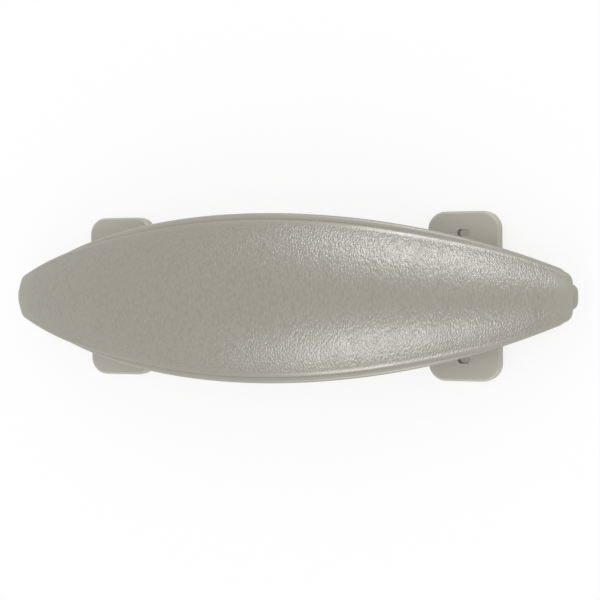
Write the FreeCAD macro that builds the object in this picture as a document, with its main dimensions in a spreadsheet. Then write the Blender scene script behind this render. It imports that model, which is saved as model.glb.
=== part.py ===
"""Arched suction grab bar: a leaf-shaped, soft-skinned grip on two feet.

Each foot is a round cup housing with two slotted ears. A quarter-turn lever on a
cam hub lifts the stud that is moulded into the rubber cup, which makes the vacuum.
Millimetres. X runs along the bar, Y across it and +Z away from the wall; the origin
is in the wall plane under the middle of the grip.
"""
import FreeCAD
import Part
import math
import os
import Sketcher
from FreeCAD import Placement, Rotation, Vector

SIZES = {
    # the arch and the leaf-shaped plan that every grip piece follows
    "arch_span": 294.8,          # along the rim, end to end
    "arch_rise": 38.5,
    "rim_end_height": 14.7,      # rim top at its ends, above the wall
    "rim_half_width": 42.1,
    "taper_square": 0.62,        # plan: half width * (1 - square*a^2 - fourth*a^4)
    "taper_fourth": 0.08,
    "rim_thickness": 3.4,
    "rim_edge": 1.6,
    # the soft skin and the shell under it
    "skin_inset": 3.1,
    "skin_wall": 2.4,
    "skin_shoulder": 3.5,
    "nose_rise": 3.6,            # how much higher the skin's sides stand at the noses
    "crown_ratio": 0.26,         # crown height over half width
    "nose_overhang": 2.8,
    "nose_block": 10.0,          # solid end of the frame inside each nose
    "shell_wall": 2.6,
    "rib_thickness": 1.8,
    "cover_inset": 6.0,
    "cover_shoulder": 1.5,
    "cover_wall": 2.5,
    "cover_belly_ratio": 0.2,
    "spine_width": 34.0,
    "spine_thickness": 3.0,
    "spine_reach": 88.0,
    # self-tapping screws that hold the cover and the feet
    "cover_screw_across": 20.0,
    "cover_screw_along": 36.0,
    "nose_screw_along": 126.0,
    "cover_screw_radius": 1.5,
    "cover_screw_head": 2.8,
    "cover_boss_radius": 3.4,
    "foot_screw_radius": 2.5,
    "foot_screw_head": 4.5,
    "foot_screw_head_height": 2.8,
    "foot_screw_offset": 12.5,
    "foot_boss_radius": 4.6,
    # feet
    "foot_axis": 95.0,           # from the middle of the bar
    "ear_length": 36.6,
    "ear_span": 85.2,
    "ear_corner": 9.0,
    "plate_bottom": 3.0,
    "plate_top": 9.7,
    "plate_edge": 1.4,
    "housing_radius": 30.0,
    "slot_length": 6.5,
    "slot_width": 3.6,
    "slot_spacing": 63.6,
    "boss_radius": 14.5,
    "boss_top": 12.7,
    "boss_cavity_radius": 11.8,
    "boss_cavity_top": 10.7,
    "cam_room_radius": 13.0,     # round recess in the pillar, behind the cam hub
    "pillar_near": 8.0,
    "pillar_far": 17.6,
    "pillar_half_width": 18.6,
    "pillar_corner": 4.0,
    # suction cup
    "cup_radius": 29.0,
    "cup_seat_radius": 27.6,
    "cup_seat_top": 5.0,
    "cup_lip_width": 2.4,
    "cup_skirt": 2.0,
    "cup_lift": 3.3,             # middle of the cup above the wall when locked
    "cup_hub_radius": 8.2,
    "cup_hub_top": 8.6,
    # stud, cam hub and lever
    "stud_radius": 4.0,
    "stud_flange_radius": 6.4,
    "stud_flange_bottom": 5.0,
    "stud_flange_top": 6.8,
    "stud_top": 23.4,
    "stud_travel": 3.0,
    "lever_turn": 80.0,          # degrees
    "pin_radius": 1.5,
    "pin_length": 18.0,
    "pin_height": 20.8,
    "cam_slot_height": 3.7,
    "washer_radius": 12.0,
    "washer_thickness": 1.0,
    "hub_radius": 10.0,
    "hub_bottom": 13.9,
    "hub_top": 24.0,
    "lever_reach": 44.0,
    "lever_root_width": 15.0,
    "lever_tip_width": 12.0,
    "lever_bottom": 14.2,
    "lever_top": 19.0,
    "lever_pad_length": 15.0,
    "lever_pad_thickness": 1.6,
    "spring_radius": 10.2,
    "spring_wire": 0.5,
    "spring_turns": 3.0,
    # clearances
    "running_gap": 0.08,
    "seat_gap": 0.1,
    "moving_gap": 0.6,
}

doc = FreeCAD.newDocument("suction_grab_bar")
sheet = doc.addObject("Spreadsheet::Sheet", "Sizes")
for row, (alias, value) in enumerate(SIZES.items(), start=1):
    sheet.set(f"A{row}", alias)
    sheet.set(f"B{row}", str(value))
    sheet.setAlias(f"B{row}", alias)
doc.recompute()


def size(alias):
    """A driving dimension, read back from the sheet."""
    return float(sheet.get(alias))


# ---------------------------------------------------------------- arch geometry

HALF_SPAN = size("arch_span") / 2
ARCH_RADIUS = (HALF_SPAN**2 + size("arch_rise") ** 2) / (2 * size("arch_rise"))
ARCH_CENTRE = size("rim_end_height") + size("arch_rise") - ARCH_RADIUS
RIM_END_ANGLE = math.asin(HALF_SPAN / ARCH_RADIUS)
STATIONS = 9                     # lofted sections from one end of the grip to the other
ARCH_TOP = size("rim_end_height") + size("arch_rise")
MERGE = size("rim_thickness") / 2  # how far joined volumes reach into each other


def half_width(along):
    """Half width of the leaf-shaped plan at a distance from the middle."""
    share = along / HALF_SPAN
    taper = size("taper_square") * share**2 + size("taper_fourth") * share**4
    return size("rim_half_width") * (1 - taper)


def arch_angle(length_past_rim_end):
    """Arch angle of a point that lies this far past the rim's end, along the arch."""
    return RIM_END_ANGLE + length_past_rim_end / ARCH_RADIUS


def on_arch(angle, across, lift):
    """A point of a radial section: across in Y, and lift above the rim's top face."""
    reach = ARCH_RADIUS + lift
    return Vector(reach * math.sin(angle), across, ARCH_CENTRE + reach * math.cos(angle))


def under_arch(lift):
    """Everything below the arched face at this lift."""
    wide = 2 * size("rim_half_width")
    return Part.makeCylinder(ARCH_RADIUS + lift, 2 * wide, Vector(0, -wide, ARCH_CENTRE),
                             Vector(0, 1, 0))


def angles(end_angle):
    """Evenly spaced section angles between the two ends."""
    return [end_angle * (2 * i / (STATIONS - 1) - 1) for i in range(STATIONS)]


def bowed_section(angle, width, base, shoulder, crown):
    """Closed wire with a flat base, two straight sides and a bowed face."""
    corners = [on_arch(angle, y, lift) for y, lift in
               ((-width, shoulder), (-width, base), (width, base), (width, shoulder))]
    sides = [Part.makeLine(a, b) for a, b in zip(corners, corners[1:])]
    bow = Part.Arc(corners[3], on_arch(angle, 0, shoulder + crown), corners[0]).toShape()
    return Part.Wire(sides + [bow])


def bowed_loft(inset, base, shoulder, crown_ratio, end_angle, rise=0):
    """Solid along the arch whose sections keep one inset from the leaf-shaped plan.

    The straight sides grow by the rise towards the ends of the rim."""
    wires = []
    for angle in angles(end_angle):
        width = half_width(ARCH_RADIUS * math.sin(angle)) - inset
        side = shoulder + rise * abs(angle / RIM_END_ANGLE) ** 3
        wires.append(bowed_section(angle, width, base, side, crown_ratio * width))
    return Part.makeLoft(wires, True, False)


def rim_band():
    """The rim: a band of even thickness along the arch, with rounded edges."""
    thick = size("rim_thickness")
    wires = []
    for angle in angles(RIM_END_ANGLE):
        width = half_width(ARCH_RADIUS * math.sin(angle))
        flat, high, low = width - size("rim_edge"), MERGE, -thick - MERGE
        top = Part.makeLine(on_arch(angle, -flat, high), on_arch(angle, flat, high))
        edge = Part.Arc(on_arch(angle, flat, high), on_arch(angle, width, -thick / 2),
                        on_arch(angle, flat, low)).toShape()
        bottom = Part.makeLine(on_arch(angle, flat, low), on_arch(angle, -flat, low))
        other = Part.Arc(on_arch(angle, -flat, low), on_arch(angle, -width, -thick / 2),
                         on_arch(angle, -flat, high)).toShape()
        wires.append(Part.Wire([top, edge, bottom, other]))
    band = Part.makeLoft(wires, True, False)
    return band.common(under_arch(0)).cut(under_arch(-thick))


SKIN_END = arch_angle(size("nose_overhang"))
SHELL_END = SKIN_END - size("skin_wall") / ARCH_RADIUS
CAVITY_END = arch_angle(-size("nose_block"))
COVER_END = arch_angle(-size("cover_inset"))
COVER_TOP = -size("rim_thickness")
COVER_SHOULDER = COVER_TOP - size("cover_shoulder")


def skin_outside():
    return bowed_loft(size("skin_inset"), -MERGE, size("skin_shoulder"), size("crown_ratio"),
                      SKIN_END, size("nose_rise"))


def shell_outside():
    """The raised middle of the frame, which fills the inside of the skin."""
    inset = size("skin_inset") + size("skin_wall")
    shoulder = size("skin_shoulder") - size("skin_wall")
    return bowed_loft(inset, -MERGE, shoulder, size("crown_ratio"), SHELL_END, size("nose_rise"))


def shell_cavity():
    """The hollow of the frame, open downwards."""
    inset = size("skin_inset") + size("skin_wall") + size("shell_wall")
    shoulder = size("skin_shoulder") - size("skin_wall") - size("shell_wall")
    return bowed_loft(inset, COVER_TOP - MERGE, shoulder, size("crown_ratio"), CAVITY_END,
                      size("nose_rise"))


def cover_outside():
    block = bowed_loft(size("cover_inset"), COVER_TOP + MERGE, COVER_SHOULDER,
                       -size("cover_belly_ratio"), COVER_END)
    return block.common(under_arch(COVER_TOP))


def cover_cavity():
    """The hollow of the cover, open upwards."""
    inset = size("cover_inset") + size("cover_wall")
    shoulder = COVER_SHOULDER + size("cover_wall")
    end = COVER_END - size("cover_wall") / ARCH_RADIUS
    return bowed_loft(inset, shoulder + MERGE, shoulder, -size("cover_belly_ratio"), end)


def upright(radius, x, y, bottom, top):
    """A vertical cylinder."""
    return Part.makeCylinder(radius, top - bottom, Vector(x, y, bottom))


def cover_screw_places():
    """Four screws around the middle of the bar and one under each nose."""
    along, across = size("cover_screw_along"), size("cover_screw_across")
    corners = [(x, y) for x in (-along, along) for y in (-across, across)]
    return corners + [(x, 0.0) for x in (-size("nose_screw_along"), size("nose_screw_along"))]


def foot_screw_places(side):
    """Two screws through the pillar of one foot; side is 1 or -1 along X."""
    x = side * (size("foot_axis") + size("foot_screw_offset"))
    return [(x, -size("foot_screw_offset")), (x, size("foot_screw_offset"))]


def heights(solid, x, y):
    """Lowest and highest point of a solid on the vertical through x, y."""
    chord = Part.makeLine(Vector(x, y, 0), Vector(x, y, 2 * ARCH_TOP)).common(solid)
    levels = [vertex.Z for vertex in chord.Vertexes]
    return min(levels), max(levels)


# ------------------------------------------------------------- document helpers

def add_feature(label, shape):
    """A document object for a shape that was made with Part's own functions."""
    feature = doc.addObject("Part::Feature", label)
    feature.Label = label
    feature.Shape = shape
    return feature


def plane_of(body, role):
    return next(o for o in body.Origin.OriginFeatures if o.Role == role)


def add_body(label):
    body = doc.addObject("PartDesign::Body", label)
    body.Label = label
    return body


def set_on_foot(body, side):
    """Places a piece, drawn around its foot's axis with the bar's middle along -X."""
    turn = 0 if side > 0 else 180
    height = body.Placement.Base.z
    body.Placement = Placement(Vector(0, 0, height), Rotation(Vector(0, 0, 1), turn))
    body.setExpression("Placement.Base.x", f"{side} * Sizes.foot_axis")


def add_sketch(body, role, name, height=None):
    sketch = body.newObject("Sketcher::SketchObject", name)
    sketch.AttachmentSupport = [(plane_of(body, role), "")]
    sketch.MapMode = "FlatFace"
    if height:
        sketch.setExpression("AttachmentOffset.Base.z", height)
    return sketch


def hold(sketch, geometry, point, direction, expression):
    """Ties one coordinate of a sketch point to an expression."""
    value = sketch.evalExpression(expression)
    value = float(getattr(value, "Value", value))
    if abs(value) < 1e-9:
        axis = -2 if direction == "DistanceX" else -1
        sketch.addConstraint(Sketcher.Constraint("PointOnObject", geometry, point, axis))
        return
    index = sketch.addConstraint(
        Sketcher.Constraint(direction, -1, 1, geometry, point, value))
    sketch.setExpression(f"Constraints[{index}]", expression)


def number(sketch, expression):
    value = sketch.evalExpression(expression)
    return float(getattr(value, "Value", value))


def draw_circle(sketch, radius, x="0", y="0"):
    centre = Vector(number(sketch, x), number(sketch, y), 0)
    circle = sketch.addGeometry(Part.Circle(centre, Vector(0, 0, 1), number(sketch, radius)))
    index = sketch.addConstraint(Sketcher.Constraint("Radius", circle, number(sketch, radius)))
    sketch.setExpression(f"Constraints[{index}]", radius)
    hold(sketch, circle, 3, "DistanceX", x)
    hold(sketch, circle, 3, "DistanceY", y)


def draw_outline(sketch, points):
    """A closed outline of straight lines through points given as two expressions each."""
    spots = [Vector(number(sketch, x), number(sketch, y), 0) for x, y in points]
    lines = [sketch.addGeometry(Part.LineSegment(a, b))
             for a, b in zip(spots, spots[1:] + spots[:1])]
    for line, after in zip(lines, lines[1:] + lines[:1]):
        sketch.addConstraint(Sketcher.Constraint("Coincident", line, 2, after, 1))
    for line, (x, y) in zip(lines, points):
        hold(sketch, line, 1, "DistanceX", x)
        hold(sketch, line, 1, "DistanceY", y)


def draw_box(sketch, x_low, x_high, y_low, y_high):
    draw_outline(sketch, [(x_low, y_low), (x_high, y_low), (x_high, y_high), (x_low, y_high)])


def draw_slot(sketch, length, width, y):
    """A round-ended slot along X, centred on x = 0 at height y."""
    reach, radius = number(sketch, f"({length} - {width}) / 2"), number(sketch, f"{width} / 2")
    level = number(sketch, y)
    up, down = level + radius, level - radius
    top = sketch.addGeometry(Part.LineSegment(Vector(-reach, up, 0), Vector(reach, up, 0)))
    right = sketch.addGeometry(Part.ArcOfCircle(
        Part.Circle(Vector(reach, level, 0), Vector(0, 0, 1), radius), -math.pi / 2, math.pi / 2))
    bottom = sketch.addGeometry(Part.LineSegment(Vector(reach, down, 0), Vector(-reach, down, 0)))
    left = sketch.addGeometry(Part.ArcOfCircle(
        Part.Circle(Vector(-reach, level, 0), Vector(0, 0, 1), radius), math.pi / 2, 3 * math.pi / 2))
    for a, a_end, b, b_end in ((top, 2, right, 2), (right, 1, bottom, 1),
                               (bottom, 2, left, 2), (left, 1, top, 1)):
        sketch.addConstraint(Sketcher.Constraint("Tangent", a, a_end, b, b_end))
    hold(sketch, right, 3, "DistanceX", f"({length} - {width}) / 2")
    hold(sketch, left, 3, "DistanceX", f"-({length} - {width}) / 2")
    hold(sketch, right, 3, "DistanceY", y)
    index = sketch.addConstraint(Sketcher.Constraint("Radius", right, radius))
    sketch.setExpression(f"Constraints[{index}]", f"{width} / 2")
    sketch.addConstraint(Sketcher.Constraint("Horizontal", top))


def extrude(body, kind, name, sketch, length, reverse=False, midplane=False):
    """A Pad or Pocket whose length is an expression."""
    feature = body.newObject(f"PartDesign::{kind}", name)
    feature.Profile = sketch
    feature.setExpression("Length", length)
    feature.Reversed = reverse
    feature.Midplane = midplane
    sketch.Visibility = False
    doc.recompute()
    return feature


def revolve(body, name, sketch, kind="Revolution"):
    feature = body.newObject(f"PartDesign::{kind}", name)
    feature.Profile = sketch
    feature.ReferenceAxis = (sketch, ["V_Axis"])
    feature.Angle = 360
    doc.recompute()
    return feature


def round_edges(body, name, chosen, radius, kind="Fillet"):
    """Fillet or Chamfer on the edges of the body's tip that a test picks out."""
    tip = body.Tip
    edges = [f"Edge{i}" for i, e in enumerate(tip.Shape.Edges, start=1) if chosen(e)]
    feature = body.newObject(f"PartDesign::{kind}", name)
    feature.Base = (tip, edges)
    feature.setExpression("Radius" if kind == "Fillet" else "Size", radius)
    doc.recompute()
    return feature


def flat_at(edge, height):
    """True for an edge that lies level at this height."""
    box = edge.BoundBox
    return abs(box.ZMin - height) < 1e-4 and abs(box.ZMax - height) < 1e-4


def stands_up(edge):
    """True for a straight vertical edge."""
    box = edge.BoundBox
    return box.XLength < 1e-4 and box.YLength < 1e-4 and box.ZLength > 1e-3


# ------------------------------------------------------------------- grip pieces

def build_grip():
    """Skin, frame, cover and spine, with their screws."""
    cover_top_face = under_arch(COVER_TOP)
    shell, hollow, belly = shell_outside(), shell_cavity(), cover_cavity()
    add_feature("grip_skin", skin_outside().cut([shell, under_arch(0)]))

    inside = hollow.fuse(belly)
    ribs = Part.makeCompound([rib_wall(place) for place in rib_places()])
    upper_ribs = ribs.common(hollow).cut(cover_top_face)
    posts, holes, screw_tops = [], [], {}
    sizes = [("cover", place) for place in cover_screw_places()]
    sizes += [("foot", place) for side in (-1, 1) for place in foot_screw_places(side)]
    for kind, (x, y) in sizes:
        post = upright(size(f"{kind}_boss_radius"), x, y, 0, 2 * ARCH_TOP).common(inside)
        screw_tops[(x, y)] = heights(hollow, x, y)[1] - size("shell_wall")
        posts.append(post)
        holes.append(upright(size(f"{kind}_screw_radius"), x, y, 0, screw_tops[(x, y)]))
    frame = rim_band().fuse(shell).cut(hollow).fuse(upper_ribs.Solids + posts)
    frame = frame.cut(holes + [spine_solid(size("seat_gap"))])
    add_feature("grip_frame", frame)

    cover_block = cover_outside()
    cover = cover_block.cut(belly)
    lower_ribs = ribs.common(belly.common(cover_top_face))
    cover = cover.fuse(lower_ribs.Solids)
    holes, screws = [], []
    for x, y in cover_screw_places():
        head_low = heights(cover_block, x, y)[0]
        head_high = head_low + size("cover_wall") / 2
        holes.append(upright(size("cover_screw_radius"), x, y, 0, 2 * ARCH_TOP))
        holes.append(upright(size("cover_screw_head") + size("seat_gap"), x, y, 0, head_high))
        screws.append(make_screw("cover", x, y, head_low, head_high, screw_tops[(x, y)]))
    for side in (-1, 1):
        for x, y in foot_screw_places(side):
            radius = size("foot_screw_radius") + size("seat_gap")
            holes.append(upright(radius, x, y, 0, 2 * ARCH_TOP))
    add_feature("under_cover", cover.cut(holes + posts))
    add_feature("cover_screws", Part.makeCompound(screws))
    add_feature("steel_spine", spine_solid(0))
    return screw_tops


def rib_places():
    """Cross ribs of the frame and the cover, evenly spaced along the spine."""
    return [share * size("spine_reach") for share in (-0.84, -0.28, 0.28, 0.84)]


def rib_wall(along):
    """An upright wall across the whole grip, to be trimmed by the hollow it stands in."""
    wide, thick = size("rim_half_width"), size("rib_thickness")
    return Part.makeBox(thick, 2 * wide, 2 * ARCH_TOP, Vector(along - thick / 2, -wide, 0))


def make_screw(kind, x, y, head_low, head_high, tip):
    """A pan-head screw, head down, with a round socket."""
    radius = size(f"{kind}_screw_radius")
    head = upright(size(f"{kind}_screw_head"), x, y, head_low, head_high)
    shank = upright(radius, x, y, head_high, tip)
    socket = upright(radius / 2, x, y, head_low, (head_low + 2 * head_high) / 3)
    return head.fuse(shank).cut(socket)


def spine_solid(gap):
    """A steel strip bent along the arch inside the grip, with room around it if asked."""
    end = math.asin(size("spine_reach") / ARCH_RADIUS) + gap / ARCH_RADIUS
    width = size("spine_width") / 2 + gap
    low, high = COVER_TOP - gap, COVER_TOP + size("spine_thickness") + gap
    arcs = [Part.Arc(*[on_arch(a, -width, lift) for a in (-end, 0, end)]).toShape()
            for lift in (low, high)]
    ends = [Part.makeLine(on_arch(a, -width, low), on_arch(a, -width, high)) for a in (-end, end)]
    face = Part.Face(Part.Wire(Part.__sortEdges__(arcs + ends)))
    return face.extrude(Vector(0, 2 * width, 0))


# ------------------------------------------------------------------- foot pieces

def build_foot(side, word, screws_end):
    """Cup housing with two slotted ears and the pillar that carries the grip."""
    body = add_body(f"foot_{word}_base")
    plate = add_sketch(body, "XY_Plane", f"ears_{word}", "Sizes.plate_bottom")
    draw_box(plate, "-Sizes.ear_length / 2", "Sizes.ear_length / 2",
             "-Sizes.ear_span / 2", "Sizes.ear_span / 2")
    thickness = "Sizes.plate_top - Sizes.plate_bottom"
    extrude(body, "Pad", f"ear_plate_{word}", plate, thickness)
    round_edges(body, f"ear_corners_{word}", stands_up, "Sizes.ear_corner")
    disc = add_sketch(body, "XY_Plane", f"disc_{word}", "Sizes.plate_bottom")
    draw_circle(disc, "Sizes.housing_radius")
    extrude(body, "Pad", f"housing_{word}", disc, thickness)
    round_edges(body, f"soft_edge_{word}", lambda e: flat_at(e, size("plate_top")),
                "Sizes.plate_edge")
    boss = add_sketch(body, "XY_Plane", f"boss_{word}", "Sizes.plate_bottom")
    draw_circle(boss, "Sizes.boss_radius")
    extrude(body, "Pad", f"cam_boss_{word}", boss, "Sizes.boss_top - Sizes.plate_bottom")
    round_edges(body, f"boss_edge_{word}", lambda e: flat_at(e, size("boss_top")),
                "Sizes.plate_edge / 2")
    seat = add_sketch(body, "XY_Plane", f"cup_seat_{word}")
    draw_circle(seat, "Sizes.cup_seat_radius + Sizes.seat_gap")
    extrude(body, "Pocket", f"cup_recess_{word}", seat, "Sizes.cup_seat_top", reverse=True)
    cavity = add_sketch(body, "XY_Plane", f"cavity_{word}")
    draw_circle(cavity, "Sizes.boss_cavity_radius")
    extrude(body, "Pocket", f"cam_cavity_{word}", cavity, "Sizes.boss_cavity_top", reverse=True)
    bore = add_sketch(body, "XY_Plane", f"bore_{word}")
    draw_circle(bore, "Sizes.stud_radius + Sizes.running_gap")
    extrude(body, "Pocket", f"stud_bore_{word}", bore, "2 * Sizes.boss_top", reverse=True)
    for name, y in (("front", "-Sizes.slot_spacing / 2"), ("back", "Sizes.slot_spacing / 2")):
        slot = add_sketch(body, "XY_Plane", f"{name}_slot_{word}")
        draw_slot(slot, "Sizes.slot_length", "Sizes.slot_width", y)
        extrude(body, "Pocket", f"{name}_screw_slot_{word}", slot, "2 * Sizes.plate_top",
                reverse=True)
    set_on_foot(body, side)
    doc.recompute()

    near, far, wide = size("pillar_near"), size("pillar_far"), size("pillar_half_width")
    low = size("plate_top") - MERGE
    block = Part.makeBox(far - near, 2 * wide, ARCH_TOP, Vector(near, -wide, low))
    block = block.makeFillet(size("pillar_corner"), [e for e in block.Edges if stands_up(e)])
    block.rotate(Vector(0, 0, 0), Vector(0, 0, 1), 0 if side > 0 else 180)
    block.translate(Vector(side * size("foot_axis"), 0, 0))
    block = block.cut(cover_outside())
    pillar = min(block.Solids, key=lambda solid: solid.BoundBox.ZMin)
    cam_room = upright(size("cam_room_radius"), side * size("foot_axis"), 0,
                       size("boss_top"), ARCH_TOP)
    cavity = upright(size("boss_cavity_radius"), side * size("foot_axis"), 0,
                     0, size("boss_cavity_top"))
    foot = body.Shape.fuse(pillar).cut([cam_room, cavity])
    screws, holes = [], []
    for x, y in foot_screw_places(side):
        head_low = size("cup_seat_top") + size("seat_gap")
        head_high = head_low + size("foot_screw_head_height")
        holes.append(upright(size("foot_screw_radius") + size("seat_gap"), x, y, 0, ARCH_TOP))
        holes.append(upright(size("foot_screw_head") + size("seat_gap"), x, y, 0, head_high))
        screws.append(make_screw("foot", x, y, head_low, head_high, screws_end[(x, y)]))
    add_feature(f"foot_{word}", foot.cut(holes))
    add_feature(f"foot_screws_{word}", Part.makeCompound(screws))
    return body


def build_cup(side, word):
    """Rubber cup with the stud's flange moulded into its raised middle."""
    body = add_body(f"cup_{word}")
    sketch = add_sketch(body, "XZ_Plane", f"cup_profile_{word}")
    draw_outline(sketch, [
        ("0", "Sizes.cup_lift"),
        ("Sizes.cup_hub_radius", "Sizes.cup_lift"),
        ("Sizes.cup_radius - 2 * Sizes.cup_lip_width", "Sizes.cup_lift / 3"),
        ("Sizes.cup_radius - Sizes.cup_lip_width", "0"),
        ("Sizes.cup_radius", "0"),
        ("Sizes.cup_seat_radius", "Sizes.plate_bottom - Sizes.seat_gap"),
        ("Sizes.cup_seat_radius", "Sizes.cup_seat_top"),
        ("Sizes.boss_cavity_radius", "Sizes.cup_seat_top"),
        ("Sizes.cup_hub_radius", "Sizes.cup_seat_top + Sizes.cup_skirt / 4"),
        ("Sizes.cup_hub_radius", "Sizes.cup_hub_top"),
        ("Sizes.stud_radius + Sizes.seat_gap / 2", "Sizes.cup_hub_top"),
        ("Sizes.stud_radius + Sizes.seat_gap / 2", "Sizes.stud_flange_top + Sizes.seat_gap / 2"),
        ("Sizes.stud_flange_radius + Sizes.seat_gap / 2", "Sizes.stud_flange_top + Sizes.seat_gap / 2"),
        ("Sizes.stud_flange_radius + Sizes.seat_gap / 2", "Sizes.stud_flange_bottom - Sizes.seat_gap / 2"),
        ("0", "Sizes.stud_flange_bottom - Sizes.seat_gap / 2"),
    ])
    revolve(body, f"cup_turned_{word}", sketch)
    set_on_foot(body, side)


def build_stud(side, word):
    """Pull stud with a flange, a shank and a cross hole for the cam pin."""
    body = add_body(f"stud_{word}")
    sketch = add_sketch(body, "XZ_Plane", f"stud_profile_{word}")
    draw_outline(sketch, [
        ("0", "Sizes.stud_flange_bottom"),
        ("Sizes.stud_flange_radius", "Sizes.stud_flange_bottom"),
        ("Sizes.stud_flange_radius", "Sizes.stud_flange_top"),
        ("Sizes.stud_radius", "Sizes.stud_flange_top"),
        ("Sizes.stud_radius", "Sizes.stud_top"),
        ("0", "Sizes.stud_top"),
    ])
    revolve(body, f"stud_turned_{word}", sketch)
    round_edges(body, f"stud_lead_{word}", lambda e: flat_at(e, size("stud_top")),
                "Sizes.stud_radius / 6", "Chamfer")
    hole = add_sketch(body, "XZ_Plane", f"cross_hole_{word}")
    draw_circle(hole, "Sizes.pin_radius", "0", "Sizes.pin_height")
    extrude(body, "Pocket", f"pin_hole_{word}", hole, "4 * Sizes.stud_radius", midplane=True)
    set_on_foot(body, side)


def build_pin(side, word):
    """Cross pin that rides in the hub's two cam slots."""
    body = add_body(f"cam_pin_{word}")
    sketch = add_sketch(body, "XZ_Plane", f"pin_circle_{word}")
    draw_circle(sketch, "Sizes.pin_radius", "0", "Sizes.pin_height")
    extrude(body, "Pad", f"pin_{word}", sketch, "Sizes.pin_length", midplane=True)
    set_on_foot(body, side)


def build_washer(side, word):
    """Steel thrust washer between the boss and the turning hub."""
    body = add_body(f"thrust_washer_{word}")
    sketch = add_sketch(body, "XY_Plane", f"washer_rings_{word}", "Sizes.boss_top")
    draw_circle(sketch, "Sizes.washer_radius")
    draw_circle(sketch, "Sizes.stud_radius + Sizes.running_gap")
    extrude(body, "Pad", f"washer_{word}", sketch, "Sizes.washer_thickness")
    set_on_foot(body, side)


def cam_slots():
    """Tools for the two helical slots of the hub, which lift the pin as the hub turns."""
    turn, travel, tall = size("lever_turn"), size("stud_travel"), size("cam_slot_height")
    inner, outer = size("stud_radius") / 2, size("hub_radius") + size("moving_gap")
    spare = math.degrees(math.asin(tall / 2 / size("stud_radius")))
    per_degree = travel / turn
    helix = Part.makeHelix(per_degree * 360, per_degree * (turn + 2 * spare), (inner + outer) / 2)
    section = Part.makePolygon([Vector(x, 0, z) for x, z in (
        (inner, -tall / 2), (outer, -tall / 2), (outer, tall / 2), (inner, tall / 2),
        (inner, -tall / 2))])
    slot = Part.Wire(helix.Edges).makePipeShell([section], True, True)
    slot.translate(Vector(0, 0, size("pin_height") - travel - per_degree * spare))
    tools = []
    for start in (90, 270):
        tool = slot.copy()
        tool.rotate(Vector(0, 0, 0), Vector(0, 0, 1), start - turn - spare)
        tools.append(tool)
    return tools


def build_lever(side, word):
    """Cam hub with a flat arm that lies under the grip when the cup is locked."""
    body = add_body(f"lever_{word}_blank")
    arm = add_sketch(body, "XY_Plane", f"arm_{word}", "Sizes.lever_bottom")
    tip = "-Sizes.lever_reach"
    draw_outline(arm, [
        ("0", "-Sizes.lever_root_width / 2"),
        ("0", "Sizes.lever_root_width / 2"),
        (tip, "Sizes.lever_tip_width / 2"),
        (tip, "-Sizes.lever_tip_width / 2"),
    ])
    extrude(body, "Pad", f"lever_arm_{word}", arm, "Sizes.lever_top - Sizes.lever_bottom")
    round_edges(body, f"arm_tip_{word}",
                lambda e: stands_up(e) and e.BoundBox.XMin < -size("lever_root_width"),
                "Sizes.lever_tip_width / 2.5")
    round_edges(body, f"arm_soft_{word}",
                lambda e: flat_at(e, size("lever_bottom")) or flat_at(e, size("lever_top")),
                "Sizes.running_gap * 5")
    hub = add_sketch(body, "XY_Plane", f"hub_{word}", "Sizes.hub_bottom")
    draw_circle(hub, "Sizes.hub_radius")
    extrude(body, "Pad", f"cam_hub_{word}", hub, "Sizes.hub_top - Sizes.hub_bottom")
    round_edges(body, f"hub_soft_{word}", lambda e: flat_at(e, size("hub_top")),
                "Sizes.running_gap * 5")
    bore = add_sketch(body, "XY_Plane", f"hub_bore_{word}")
    draw_circle(bore, "Sizes.stud_radius + Sizes.running_gap")
    extrude(body, "Pocket", f"hub_hole_{word}", bore, "2 * Sizes.hub_top", reverse=True)
    doc.recompute()
    lever = add_feature(f"lever_{word}", body.Shape.cut(cam_slots()))
    set_on_foot(lever, side)
    return body


def build_lever_pad(side, word):
    """Soft thumb pad on top of the lever's end, with three grip ridges."""
    body = add_body(f"lever_pad_{word}")
    sketch = add_sketch(body, "XY_Plane", f"pad_outline_{word}", "Sizes.lever_top")
    inset = "Sizes.lever_tip_width / 8"
    outer = f"-Sizes.lever_reach + {inset}"
    draw_box(sketch, outer, f"{outer} + Sizes.lever_pad_length",
             f"-Sizes.lever_tip_width / 2 + {inset}", f"Sizes.lever_tip_width / 2 - {inset}")
    extrude(body, "Pad", f"pad_block_{word}", sketch, "Sizes.lever_pad_thickness")
    round_edges(body, f"pad_corner_{word}", stands_up, "Sizes.lever_tip_width / 4")
    grooves = add_sketch(body, "XY_Plane", f"grooves_{word}",
                         "Sizes.lever_top + Sizes.lever_pad_thickness")
    for share in (0.3, 0.5, 0.7):
        middle = f"{outer} + {share} * Sizes.lever_pad_length"
        draw_box(grooves, f"{middle} - {inset} / 3", f"{middle} + {inset} / 3",
                 "-Sizes.lever_tip_width", "Sizes.lever_tip_width")
    extrude(body, "Pocket", f"pad_grooves_{word}", grooves, "Sizes.lever_pad_thickness / 3")
    set_on_foot(body, side)


def build_spring(side, word):
    """Coil that pushes the middle of the cup back down when the hub lets go."""
    wire, radius = size("spring_wire"), size("spring_radius")
    bottom = size("cup_seat_top") + size("cup_skirt") / 4 + wire
    top = size("boss_cavity_top") - wire - size("seat_gap")
    rise = top - bottom
    helix = Part.makeHelix(rise / size("spring_turns"), rise, radius)
    circle = Part.Wire(Part.makeCircle(wire, Vector(radius, 0, 0), Vector(0, 1, 0)))
    coil = Part.Wire(helix.Edges).makePipeShell([circle], True, True)
    coil.Placement = Placement(Vector(0, 0, bottom), Rotation())
    feature = add_feature(f"cup_spring_{word}", coil)
    set_on_foot(feature, side)


# ------------------------------------------------------------------------- build

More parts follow.
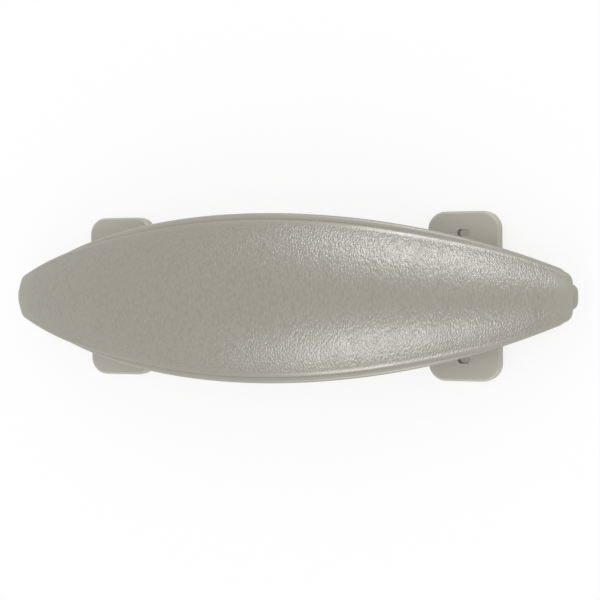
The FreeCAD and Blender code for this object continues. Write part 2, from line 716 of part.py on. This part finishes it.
ends = build_grip()
helpers = []
for side, word in ((1, "right"), (-1, "left")):
    helpers.append(build_foot(side, word, ends))
    build_cup(side, word)
    build_stud(side, word)
    build_pin(side, word)
    build_washer(side, word)
    helpers.append(build_lever(side, word))
    build_lever_pad(side, word)
    build_spring(side, word)
doc.recompute()

for item in doc.Objects:
    assert "Invalid" not in item.State and "Error" not in item.State, f"{item.Label} failed"

os.makedirs("parts", exist_ok=True)
for item in doc.Objects:
    whole = item.TypeId == "PartDesign::Body" or item.TypeId == "Part::Feature"
    if not whole or item in helpers:
        continue
    shape = item.Shape
    assert not shape.isNull() and shape.isValid(), f"{item.Label} has no valid shape"
    assert all(s.isValid() and s.Volume > 0 for s in shape.Solids) and shape.Solids, item.Label
    shape.exportStep(os.path.join("parts", f"{item.Label}.step"))
    print(item.Label, len(shape.Solids), "solids", round(shape.Volume, 1), "mm3")
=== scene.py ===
"""Looks of the arched suction grab bar: a grained soft grip on two slotted feet."""
import bpy
import math
from mathutils import Euler, Matrix, Vector


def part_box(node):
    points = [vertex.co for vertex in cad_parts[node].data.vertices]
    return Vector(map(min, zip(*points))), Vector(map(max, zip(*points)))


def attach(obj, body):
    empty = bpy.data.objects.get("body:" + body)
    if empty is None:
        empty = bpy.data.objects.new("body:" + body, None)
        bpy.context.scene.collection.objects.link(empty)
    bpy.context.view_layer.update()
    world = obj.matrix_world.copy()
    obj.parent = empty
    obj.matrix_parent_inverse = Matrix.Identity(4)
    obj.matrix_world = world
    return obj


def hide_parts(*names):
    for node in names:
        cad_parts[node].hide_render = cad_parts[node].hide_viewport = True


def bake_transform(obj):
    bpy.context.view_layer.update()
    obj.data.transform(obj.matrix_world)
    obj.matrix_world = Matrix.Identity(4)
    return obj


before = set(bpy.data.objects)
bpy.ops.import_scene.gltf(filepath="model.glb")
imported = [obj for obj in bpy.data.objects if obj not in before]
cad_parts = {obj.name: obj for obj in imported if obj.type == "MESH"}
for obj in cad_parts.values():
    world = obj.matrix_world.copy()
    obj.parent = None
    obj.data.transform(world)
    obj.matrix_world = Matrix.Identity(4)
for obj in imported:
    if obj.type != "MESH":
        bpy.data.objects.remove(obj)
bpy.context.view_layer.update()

MM = 0.001

# sizes that the grip's soft parts follow, in millimetres
ARCH_SPAN = 294.8
ARCH_RISE = 38.5
RIM_END_HEIGHT = 14.7
RIM_HALF_WIDTH = 42.1
RIM_THICKNESS = 3.4
TAPER_SQUARE = 0.62
TAPER_FOURTH = 0.08
SKIN_INSET = 3.1
SKIN_END_INSET = 0.9
SKIN_SHOULDER = 1.9
CROWN_RATIO = 0.30
NOSE_OVERHANG = 2.8
NOSE_RISE = 5.0
NOSE_NARROWING = 1.0
SKIN_SOFT_EDGE = 2.6               # rounding between the skin's side and its crown
SKIN_CORNER = 2.6                  # corners of the skin's blunt ends, in plan
NOSE_STEP_IN = 4.4                 # the nose is this much narrower than the blunt end
NOSE_ROUNDING = 1.8
RIM_CORNER = 3.4
RIM_TOP_SOFT = 1.5
RIM_LOW_SOFT = 1.0
HALF_SPAN = ARCH_SPAN / 2
ARCH_RADIUS = (HALF_SPAN ** 2 + ARCH_RISE ** 2) / (2 * ARCH_RISE)
ARCH_CENTRE = RIM_END_HEIGHT + ARCH_RISE - ARCH_RADIUS
RIM_END_ANGLE = math.asin(HALF_SPAN / ARCH_RADIUS)
FOOT_AXIS = 95.0
SLOT_ACROSS = 31.8

SMOOTH_ANGLE = math.radians(40)


# ------------------------------------------------------------------ materials

def hex_colour(code, alpha=1.0):
    """Linear colour for a shader socket from an sRGB hex code."""
    parts = [int(code[i:i + 2], 16) / 255 for i in (0, 2, 4)]
    linear = [p / 12.92 if p <= 0.04045 else ((p + 0.055) / 1.055) ** 2.4 for p in parts]
    return (*linear, alpha)


def add(tree, kind, inputs=None, **settings):
    """A shader node with its settings, constants and links in one go."""
    made = tree.nodes.new(kind)
    for name, value in settings.items():
        setattr(made, name, value)
    for socket, value in (inputs or {}).items():
        if isinstance(value, bpy.types.NodeSocket):
            tree.links.new(value, made.inputs[socket])
        else:
            made.inputs[socket].default_value = value
    return made


def new_material(name):
    """A material with one principled surface: the material, its node tree and the surface."""
    made = bpy.data.materials.new(name)
    made.use_nodes = True
    tree = made.node_tree
    tree.nodes.clear()
    surface = add(tree, "ShaderNodeBsdfPrincipled")
    add(tree, "ShaderNodeOutputMaterial", {"Surface": surface.outputs["BSDF"]})
    return made, tree, surface


def ramp(tree, value, low, high, start=0.0, end=1.0):
    """Blends two colours as a value runs from start to end."""
    part = add(tree, "ShaderNodeMapRange", {0: value, 1: start, 2: end})
    mix = add(tree, "ShaderNodeMix", {0: part.outputs[0], 6: low, 7: high}, data_type="RGBA")
    return mix.outputs[2]


def noise(tree, where, per_metre, detail=3.0, roughness=0.5):
    """Cloudy noise from 0 to 1."""
    made = add(tree, "ShaderNodeTexNoise",
               {"Vector": where, "Scale": per_metre, "Detail": detail, "Roughness": roughness})
    return made.outputs[0]


def coordinates(tree, stretch=(1, 1, 1)):
    """Places on the object in metres, drawn out along an axis whose stretch is under 1."""
    place = add(tree, "ShaderNodeTexCoord")
    turned = add(tree, "ShaderNodeMapping", {"Vector": place.outputs["Object"], "Scale": stretch})
    return turned.outputs[0]


def leather_grain_tpe():
    """Thermoplastic elastomer with a moulded leather grain: wrinkled pebbles 0.9 mm apart and
    two and a half times as long across the grip, that glint in the streaks of light and hardly
    show elsewhere. The creases between the pebbles carry painted shade, a darker colour. The
    noses and the edge are left smooth."""
    pebbles_per_mm, wrinkles_per_mm, wander_per_mm, patches_per_mm = 1.15, 1.7, 0.33, 0.11
    made, tree, surface = new_material("leather_grain_tpe")
    where = coordinates(tree, (1.0, 0.4, 1.0))
    wander = add(tree, "ShaderNodeTexNoise",
                 {"Vector": where, "Scale": wander_per_mm / MM, "Detail": 2.0})
    push = add(tree, "ShaderNodeVectorMath", {0: wander.outputs[1], 1: (0.5, 0.5, 0.5)},
               operation="SUBTRACT")
    pushed = add(tree, "ShaderNodeVectorMath", {0: push.outputs[0], "Scale": 0.0012},
                 operation="SCALE")
    crooked = add(tree, "ShaderNodeVectorMath", {0: where, 1: pushed.outputs[0]})
    pebbles = add(tree, "ShaderNodeTexVoronoi",
                  {"Vector": crooked.outputs[0], "Scale": pebbles_per_mm / MM,
                   "Smoothness": 0.4},
                  feature="SMOOTH_F1")
    wrinkles = noise(tree, crooked.outputs[0], wrinkles_per_mm / MM, 2.0, 0.6)
    lumps = add(tree, "ShaderNodeMapRange", {0: pebbles.outputs[0], 1: 0.1, 2: 0.8, 3: 1.0,
                                             4: 0.0})
    rough = add(tree, "ShaderNodeMath", {0: lumps.outputs[0], 1: wrinkles})
    patchy = noise(tree, where, patches_per_mm / MM)
    uneven = add(tree, "ShaderNodeMapRange", {0: patchy, 1: 0.3, 2: 0.7, 3: 0.8, 4: 1.15})
    depth = add(tree, "ShaderNodeMath", {0: rough.outputs[0], 1: uneven.outputs[0]},
                operation="MULTIPLY")
    grained = add(tree, "ShaderNodeAttribute", attribute_name="grained")
    height = add(tree, "ShaderNodeMath", {0: depth.outputs[0], 1: grained.outputs["Fac"]},
                 operation="MULTIPLY")
    broad = noise(tree, coordinates(tree), 14.0)
    base = ramp(tree, broad, hex_colour(SKIN_TONES_AND_CREASE_SHADE[0]), hex_colour(SKIN_TONES_AND_CREASE_SHADE[1]), 0.35, 0.65)
    # painted shade: where the pebbles meet, the colour runs to the darker third skin colour, for
    # the shade in the creases
    crease_shaded = ramp(tree, lumps.outputs[0], hex_colour(SKIN_TONES_AND_CREASE_SHADE[2]), base)
    tone = add(tree, "ShaderNodeMix", {0: grained.outputs["Fac"], 6: base, 7: crease_shaded},
               data_type="RGBA")
    bump = add(tree, "ShaderNodeBump", {"Height": height.outputs[0], "Distance": 0.00013,
                                        "Strength": 1.0})
    gloss = add(tree, "ShaderNodeMapRange", {0: patchy, 1: 0.3, 2: 0.7, 3: 0.33, 4: 0.38})
    tree.links.new(tone.outputs[2], surface.inputs["Base Color"])
    tree.links.new(gloss.outputs[0], surface.inputs["Roughness"])
    tree.links.new(bump.outputs[0], surface.inputs["Normal"])
    return made


def moulded(name, light, dark, rough=0.42, bump_depth=0.00003, per_metre=2600.0):
    """A moulded polymer: faint mottling, a fine spark-eroded texture and uneven gloss. The
    texture is drawn at 0.4 to 0.7 mm, coarser than the real one, so that it shows."""
    made, tree, surface = new_material(name)
    where = coordinates(tree)
    base = ramp(tree, noise(tree, where, 22.0), hex_colour(dark), hex_colour(light), 0.3, 0.7)
    tree.links.new(base, surface.inputs["Base Color"])
    grit = noise(tree, where, per_metre, 2.0)
    bump = add(tree, "ShaderNodeBump", {"Height": grit, "Distance": bump_depth, "Strength": 0.6})
    tree.links.new(bump.outputs[0], surface.inputs["Normal"])
    gloss = add(tree, "ShaderNodeMapRange", {0: noise(tree, where, 60.0), 1: 0.3, 2: 0.7,
                                             3: rough - 0.05, 4: rough + 0.06})
    tree.links.new(gloss.outputs[0], surface.inputs["Roughness"])
    return made


def metal(name, tint, rough, per_metre, stretch):
    """Bare metal: tool marks drawn out one way, with gloss that varies along them."""
    made, tree, surface = new_material(name)
    where = coordinates(tree, stretch)
    marks = noise(tree, where, per_metre, 4.0, 0.7)
    base = ramp(tree, marks, hex_colour(tint[0]), hex_colour(tint[1]), 0.3, 0.7)
    tree.links.new(base, surface.inputs["Base Color"])
    gloss = add(tree, "ShaderNodeMapRange", {0: marks, 1: 0.3, 2: 0.7, 3: rough - 0.08,
                                             4: rough + 0.1})
    tree.links.new(gloss.outputs[0], surface.inputs["Roughness"])
    bump = add(tree, "ShaderNodeBump", {"Height": marks, "Distance": 0.00002, "Strength": 0.5})
    tree.links.new(bump.outputs[0], surface.inputs["Normal"])
    surface.inputs["Metallic"].default_value = 1.0
    return made


# the skin's own colours, varying at random, and last the painted shade for the grain's creases
SKIN_TONES_AND_CREASE_SHADE = ("969287", "9a968b", "8c887d")
TPE = leather_grain_tpe()
ABS = moulded("satin_abs", "a09c91", "9b978c")
ABS_FOOT = moulded("satin_abs_feet", "b4b0a5", "afaba0", 0.45)
NYLON = moulded("glass_filled_nylon", "6d6a65", "5f5c58", 0.5, 0.00006, 1400.0)
NITRILE = moulded("nitrile_rubber", "4d4c4a", "434240", 0.38, 0.00002, 1800.0)
SOFT_PAD = moulded("soft_thumb_rubber", "3d3c3b", "343332", 0.6, 0.00005, 2000.0)
STAINLESS = metal("stainless_steel", ("a9a8a5", "c4c3c0"), 0.3, 900.0, (1, 1, 6))
ZINC = metal("zinc_plated_steel", ("9ea3a6", "c0c3c4"), 0.36, 300.0, (1, 4, 1))
ALUMINIUM = metal("turned_aluminium", ("b4b4b3", "d0d0ce"), 0.28, 700.0, (1, 1, 8))
WIRE = metal("music_wire", ("8f8e8c", "b5b4b1"), 0.25, 1200.0, (1, 1, 2))

NODE_FINISH = {
    "grip_frame": ABS, "under_cover": ABS, "cover_screws": STAINLESS, "steel_spine": ZINC,
    "foot": ABS_FOOT, "foot_screws": STAINLESS, "stud": ALUMINIUM, "cam_pin": STAINLESS,
    "thrust_washer": ZINC, "lever": NYLON, "cup_spring": WIRE,
}


def finish_piece(piece, finish, body, nodes=()):
    """Gives a new piece its material and its body, and hides the CAD nodes that it stands for."""
    piece.data.materials.clear()
    piece.data.materials.append(finish)
    if body:
        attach(piece, body)
    if nodes:
        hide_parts(*nodes)


# --------------------------------------------------------------------- meshes

def half_width(along):
    """Half width of the leaf-shaped plan at a distance from the middle."""
    share = along / HALF_SPAN
    return RIM_HALF_WIDTH * (1 - TAPER_SQUARE * share ** 2 - TAPER_FOURTH * share ** 4)


def on_arch(angle, across, lift):
    """A point of a radial section, in metres."""
    reach = ARCH_RADIUS + lift
    return Vector((reach * math.sin(angle), across,
                   ARCH_CENTRE + reach * math.cos(angle))) * MM


def swept_leaf(name, rows, columns, place):
    """A closed skin along the arch, from a grid whose points are set by place(row, column).
    The leaf tapers and bows at once, which no transform operator gives in one move."""
    bpy.ops.object.select_all(action="DESELECT")
    bpy.ops.mesh.primitive_grid_add(x_subdivisions=rows - 1, y_subdivisions=columns, size=2)
    piece = bpy.context.object
    piece.name = piece.data.name = name
    step_x, step_y = 2 / (rows - 1), 2 / columns
    for vertex in piece.data.vertices:
        row = round((vertex.co.x + 1) / step_x)
        column = round((vertex.co.y + 1) / step_y) % columns
        vertex.co = place(row, column)
    bpy.ops.object.mode_set(mode="EDIT")
    bpy.ops.mesh.select_all(action="SELECT")
    bpy.ops.mesh.remove_doubles(threshold=1e-6)
    bpy.ops.mesh.normals_make_consistent(inside=False)
    bpy.ops.object.mode_set(mode="OBJECT")
    return piece


def quarter_turn(steps, first=1):
    """A rounded corner in steps: what is left of it ahead, and how far in it has come."""
    for step in range(first, steps + 1):
        turn = step / steps * math.pi / 2
        yield 1 - math.sin(turn), 1 - math.cos(turn)


def along_arch(inner, count, tip):
    """Stations from end to end: even ones between the tips, and one tip's, mirrored."""
    plain = (0.0,) * (len(tip[0]) - 1)
    middle = [(inner * (2 * i / (count - 1) - 1), *plain) for i in range(count)]
    return [(-angle, *rest) for angle, *rest in reversed(tip)] + middle + tip


def swept_sections(name, stations, profile):
    """A leaf-shaped piece, from its half section at each station."""
    base = [profile(*station) for station in stations]
    half = len(base[0])
    columns = 2 * half - 2

    def place(row, column):
        side = 1 if column < half else -1
        across, lift = base[row][column if column < half else columns - column]
        return on_arch(stations[row][0], side * across, lift)

    piece = swept_leaf(name, len(stations), columns, place)
    bpy.ops.object.shade_smooth_by_angle(angle=SMOOTH_ANGLE)
    return piece


def skin_width(angle):
    """The skin lies well inside the rim along the bar and runs out to it at the ends."""
    share = min(max((abs(angle / RIM_END_ANGLE) - 0.4) / 0.5, 0), 1)
    inset = SKIN_INSET - (SKIN_INSET - SKIN_END_INSET) * share * share * (3 - 2 * share)
    return half_width(ARCH_RADIUS * math.sin(abs(angle))) - inset


def skin_profile(angle, narrower, lower):
    """Half of the skin's section, from under its edge to the crown, as (across, lift)."""
    width = skin_width(angle)
    share = abs(angle / RIM_END_ANGLE)
    side = SKIN_SHOULDER + NOSE_RISE * share ** 3
    crown = CROWN_RATIO * width
    radius = (width ** 2 + crown ** 2) / (2 * crown)
    edge = width - narrower - NOSE_NARROWING * share ** 12
    lift, soft = side - lower, min(side - 0.6, SKIN_SOFT_EDGE - share ** 6)
    points = [(0.0, 0.0), (edge - 0.2, 0.0), (edge - 0.2, 0.2), (edge, 0.4), (edge, lift - soft)]
    for ahead, inward in quarter_turn(6):
        points.append((edge - soft * inward, lift - soft * ahead))
    bow_edge = radius - math.sqrt(max(radius ** 2 - (edge - soft) ** 2, 0))
    crown_steps = 24
    for step in range(1, crown_steps + 1):
        across = (edge - soft) * (1 - step / crown_steps)
        drop = radius - math.sqrt(max(radius ** 2 - across ** 2, 0))
        points.append((across, lift + bow_edge - drop))
    return points


def build_skin():
    """The soft skin, with blunt ends, a narrower nose beyond each, and a share of grain."""
    end = RIM_END_ANGLE + NOSE_OVERHANG / ARCH_RADIUS
    tip = [(RIM_END_ANGLE - SKIN_CORNER * ahead / ARCH_RADIUS, SKIN_CORNER * inward, 0.0)
           for ahead, inward in quarter_turn(6)]
    tip.append((RIM_END_ANGLE + 0.1 / ARCH_RADIUS, NOSE_STEP_IN, 0.3))
    for ahead, inward in quarter_turn(6, first=0):
        tip.append((end - NOSE_ROUNDING * ahead / ARCH_RADIUS,
                    NOSE_STEP_IN + NOSE_ROUNDING * inward, 0.3 + 0.5 * inward ** 1.5))
    for share in (0.3, 0.7):
        tip.append((end, NOSE_STEP_IN + NOSE_ROUNDING + share * 3.0, 0.8 + share * 4.0))
    stations = along_arch(RIM_END_ANGLE - SKIN_CORNER / ARCH_RADIUS, 161, tip)
    skin = swept_sections("grip_skin_grained", stations, skin_profile)
    grained = skin.data.attributes.new("grained", "FLOAT", "POINT")
    for vertex in skin.data.vertices:
        x, y, z = vertex.co / MM
        angle = math.atan2(x, z - ARCH_CENTRE)
        lift = math.hypot(x, z - ARCH_CENTRE) - ARCH_RADIUS
        room = skin_width(angle) - abs(y)
        past = (end - abs(angle)) * ARCH_RADIUS
        side = min(max((room - 1.2) / 1.5, 0), 1)
        plain_nose = min(max((past - 4.0) / 14.0, 0), 1)
        grained.data[vertex.index].value = side * plain_nose if lift > 1.0 else 0
    finish_piece(skin, TPE, "bar", ["grip_skin"])


def rim_profile(angle, narrower):
    """Half of the rim's section: flat faces and rounded edges."""
    edge = half_width(ARCH_RADIUS * math.sin(abs(angle))) - narrower
    points = [(0.0, 0.0), (0.5 * edge, 0.0)]
    for ahead, inward in quarter_turn(6, first=0):
        points.append((edge - RIM_TOP_SOFT * ahead, -RIM_TOP_SOFT * inward))
    for ahead, inward in quarter_turn(6, first=0):
        points.append((edge - RIM_LOW_SOFT * inward, RIM_LOW_SOFT * ahead - RIM_THICKNESS))
    return points + [(0.5 * edge, -RIM_THICKNESS), (0.0, -RIM_THICKNESS)]


def build_rim():
    """The frame's smooth rim, with rounded corners at its blunt ends."""
    tip = [(RIM_END_ANGLE - RIM_CORNER * ahead / ARCH_RADIUS, RIM_CORNER * inward)
           for ahead, inward in quarter_turn(8)]
    tip.append((RIM_END_ANGLE, 8.0))
    stations = along_arch(RIM_END_ANGLE - RIM_CORNER / ARCH_RADIUS, 121, tip)
    rim = swept_sections("grip_rim", stations, rim_profile)
    finish_piece(rim, ABS, "bar", ["grip_frame"])


def spun(name, profile, centre, steps=96):
    """A piece turned about a foot's axis from its half section, as (radius, height)."""
    bpy.ops.object.select_all(action="DESELECT")
    bpy.ops.mesh.primitive_circle_add(vertices=len(profile), radius=1)
    piece = bpy.context.object
    piece.name = piece.data.name = name
    for vertex, (radius, height) in zip(piece.data.vertices, profile):
        vertex.co = Vector((centre + radius, 0, height)) * MM
    bpy.ops.object.mode_set(mode="EDIT")
    bpy.ops.mesh.select_all(action="SELECT")
    bpy.ops.mesh.spin(steps=steps, angle=math.tau, center=(centre * MM, 0, 0), axis=(0, 0, 1))
    bpy.ops.mesh.select_all(action="SELECT")
    bpy.ops.mesh.remove_doubles(threshold=1e-6)
    bpy.ops.mesh.normals_make_consistent(inside=False)
    bpy.ops.object.mode_set(mode="OBJECT")
    bpy.ops.object.shade_smooth_by_angle(angle=math.radians(35))
    return piece


def build_cup(side, word):
    """A seat ring with the sealing lip, and a domed face that is attached to no body."""
    centre = side * FOOT_AXIS
    ring = spun(f"cup_lip_ring_{word}", [
        (20.0, 4.9), (27.4, 4.9), (27.5, 4.6), (27.5, 3.2), (28.1, 1.8), (28.7, 0.8),
        (29.0, 0.2), (28.9, 0.02), (28.4, 0.0), (26.6, 0.05), (25.6, 0.5), (24.6, 1.0),
        (23.6, 1.2), (20.0, 2.0)], centre)
    finish_piece(ring, NITRILE, "bar", [f"cup_{word}"])
    face = spun(f"cup_face_{word}", [
        (0.001, 4.9), (8.1, 4.9), (19.8, 3.4), (23.2, 1.6), (24.0, 1.25), (23.4, 1.15),
        (20.0, 1.6), (16.0, 2.2), (12.0, 2.7), (8.0, 3.1), (6.0, 3.25), (3.0, 3.3),
        (2.0, 3.6), (1.2, 3.75), (0.001, 3.8)], centre)
    finish_piece(face, NITRILE, None)
    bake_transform(face)


def build_thumb_pad(side, word):
    """Soft pad on the lever's end with raised ridges across it."""
    low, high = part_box(f"lever_pad_{word}")
    low, high = Vector(low), Vector(high)
    middle, span = (low + high) / 2, high - low
    bpy.ops.object.select_all(action="DESELECT")
    bpy.ops.mesh.primitive_grid_add(x_subdivisions=60, y_subdivisions=24, size=1)
    pad = bpy.context.object
    pad.name = pad.data.name = f"thumb_pad_{word}"
    bpy.ops.object.mode_set(mode="EDIT")
    bpy.ops.mesh.select_all(action="SELECT")
    bpy.ops.mesh.extrude_region_move(TRANSFORM_OT_translate={"value": (0, 0, 1)})
    bpy.ops.mesh.select_all(action="SELECT")
    bpy.ops.mesh.normals_make_consistent(inside=False)
    bpy.ops.object.mode_set(mode="OBJECT")
    corner, soft_edge, ridge_pitch, ridge_height = 2.4 * MM, 0.9, 2.6, 0.18
    for vertex in pad.data.vertices:
        x, y = vertex.co.x * span.x, vertex.co.y * span.y
        over_x = max(abs(x) - span.x / 2 + corner, 0)
        over_y = max(abs(y) - span.y / 2 + corner, 0)
        if over_x and over_y:
            share = max(over_x, over_y) / math.hypot(over_x, over_y)
            x = math.copysign(span.x / 2 - corner + over_x * share, x)
            y = math.copysign(span.y / 2 - corner + over_y * share, y)
        edge = min(span.x / 2 - abs(x), span.y / 2 - abs(y)) / MM
        soft = 1 - max(1 - edge / soft_edge, 0) ** 2 * 0.35
        ridge = ridge_height * (1 + math.cos(x / MM * math.tau / ridge_pitch))
        top = span.z * soft - ridge * MM * (1 if edge > 1.2 else 0)
        vertex.co = (middle.x + x, middle.y + y, low.z + (top if vertex.co.z > 0.5 else 0))
    bpy.ops.object.shade_smooth_by_angle(angle=math.radians(50))
    finish_piece(pad, SOFT_PAD, f"lever_unit_{word}", [f"lever_pad_{word}"])


def finish_cad_nodes():
    """Gives each CAD node that is shown the finish of its kind, left and right alike."""
    for name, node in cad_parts.items():
        kind = name.rsplit("_", 1)[0] if name.endswith(("_left", "_right")) else name
        if kind in NODE_FINISH:
            node.data.materials.clear()
            node.data.materials.append(NODE_FINISH[kind])


# ---------------------------------------------------------------- studio, view

CAMERA_DISTANCE = 0.752
CAMERA_LEAN = 20.0                 # degrees from straight down, towards the right-hand foot
CAMERA_TIP = 1.3
CAMERA_ROLL = 0.42
LENS = 86.94
LENS_SHIFT = (0.0305, -0.0058)
AIM_HEIGHT = 14.7 * MM

# each softbox's place in metres and its power: they draw the four soft streaks on the grip
SOFTBOX_SIZE = (0.2, 0.2)
SOFTBOX_TARGET = (0.08, 0, 0.05)
SLOT_SHADE_SIZE = (22 * MM, 11 * MM)
WALL_GLOW = 0.8                    # share of the wall that is plain white to the camera
SKY_LIGHT = 1.08
SOFTBOXES = [
    ("back_softbox", (0.32, 0.76, 0.69), 9.5),
    ("back_right_softbox", (0.64, 0.53, 0.71), 4.6),
    ("front_right_softbox", (0.34, -0.63, 0.80), 5.8),
    ("front_softbox", (0.06, -0.78, 0.72), 5.0),
]


def add_camera():
    """Looks down on the grip, leaning towards its right-hand end."""
    lean, tip = math.radians(CAMERA_LEAN), math.radians(CAMERA_TIP)
    back = Vector((math.sin(lean) * math.cos(tip), math.sin(tip), math.cos(lean) * math.cos(tip)))
    data = bpy.data.cameras.new("camera")
    data.lens = LENS
    data.shift_x, data.shift_y = LENS_SHIFT
    camera = bpy.data.objects.new("camera", data)
    bpy.context.collection.objects.link(camera)
    camera.location = Vector((0, 0, AIM_HEIGHT)) + back * CAMERA_DISTANCE
    level = Euler((-tip, lean, 0)).to_matrix()
    rolled = level @ Matrix.Rotation(-math.radians(CAMERA_ROLL), 3, "Z")
    camera.rotation_euler = rolled.to_euler()
    bpy.context.scene.camera = camera


def add_softbox(name, place, target, size, power):
    """A lamp that shows in the gloss alone; the even light comes from the sky."""
    data = bpy.data.lights.new(name, "AREA")
    data.shape = "RECTANGLE"
    data.size, data.size_y = size
    data.energy = power
    lamp = bpy.data.objects.new(name, data)
    bpy.context.collection.objects.link(lamp)
    lamp.visible_diffuse = False
    lamp.location = place
    lamp.rotation_euler = (Vector(target) - Vector(place)).to_track_quat("-Z", "Y").to_euler()


def add_slot_shade():
    """Shaded wall behind each screw slot, so that the slots read as even recesses."""
    made = bpy.data.materials.new("shaded_wall")
    made.use_nodes = True
    tree = made.node_tree
    tree.nodes.clear()
    glow = add(tree, "ShaderNodeEmission", {"Color": hex_colour("8e8a80"), "Strength": 1.0})
    add(tree, "ShaderNodeOutputMaterial", {"Surface": glow.outputs[0]})
    for side in (-1, 1):
        for across in (-SLOT_ACROSS, SLOT_ACROSS):
            bpy.ops.object.select_all(action="DESELECT")
            bpy.ops.mesh.primitive_plane_add(size=1, location=(side * FOOT_AXIS * MM,
                                                               across * MM, 0.1 * MM))
            patch = bpy.context.object
            ends = ("left" if side < 0 else "right", "front" if across < 0 else "back")
            patch.name = "slot_shade_" + "_".join(ends)
            bpy.ops.object.mode_set(mode="EDIT")
            bpy.ops.transform.resize(value=(*SLOT_SHADE_SIZE, 1))
            bpy.ops.object.mode_set(mode="OBJECT")
            patch.data.materials.append(made)


def add_studio():
    """A white wall under the bar, an even sky and the softboxes."""
    bpy.ops.object.select_all(action="DESELECT")
    bpy.ops.mesh.primitive_plane_add(size=8)
    floor = bpy.context.object
    floor.name = "floor"
    made, tree, surface = new_material("studio_floor")
    surface.inputs["Base Color"].default_value = (0.9, 0.9, 0.9, 1)
    surface.inputs["Roughness"].default_value = 0.9
    glow = add(tree, "ShaderNodeEmission", {"Color": (1, 1, 1, 1), "Strength": 1.0})
    seen = add(tree, "ShaderNodeLightPath")
    share = add(tree, "ShaderNodeMath", {0: seen.outputs["Is Camera Ray"], 1: WALL_GLOW},
                operation="MULTIPLY")
    mixed = add(tree, "ShaderNodeMixShader", {0: share.outputs[0], 1: surface.outputs[0],
                                              2: glow.outputs[0]})
    out = next(n for n in tree.nodes if n.type == "OUTPUT_MATERIAL")
    tree.links.new(mixed.outputs[0], out.inputs["Surface"])
    floor.data.materials.append(made)
    add_slot_shade()
    world = bpy.data.worlds.new("studio")
    world.use_nodes = True
    bpy.context.scene.world = world
    tree = world.node_tree
    tree.nodes.clear()
    seen = add(tree, "ShaderNodeLightPath")
    strength = add(tree, "ShaderNodeMapRange",
                   {0: seen.outputs["Is Camera Ray"], 3: SKY_LIGHT, 4: 1.0})
    back = add(tree, "ShaderNodeBackground", {"Color": (1, 1, 1, 1),
                                              "Strength": strength.outputs[0]})
    add(tree, "ShaderNodeOutputWorld", {"Surface": back.outputs[0]})
    for name, place, power in SOFTBOXES:
        add_softbox(name, place, SOFTBOX_TARGET, SOFTBOX_SIZE, power)
    bpy.context.scene.view_settings.view_transform = "Standard"


build_skin()
build_rim()
for side, word in ((1, "right"), (-1, "left")):
    build_cup(side, word)
    build_thumb_pad(side, word)
finish_cad_nodes()
add_camera()
add_studio()
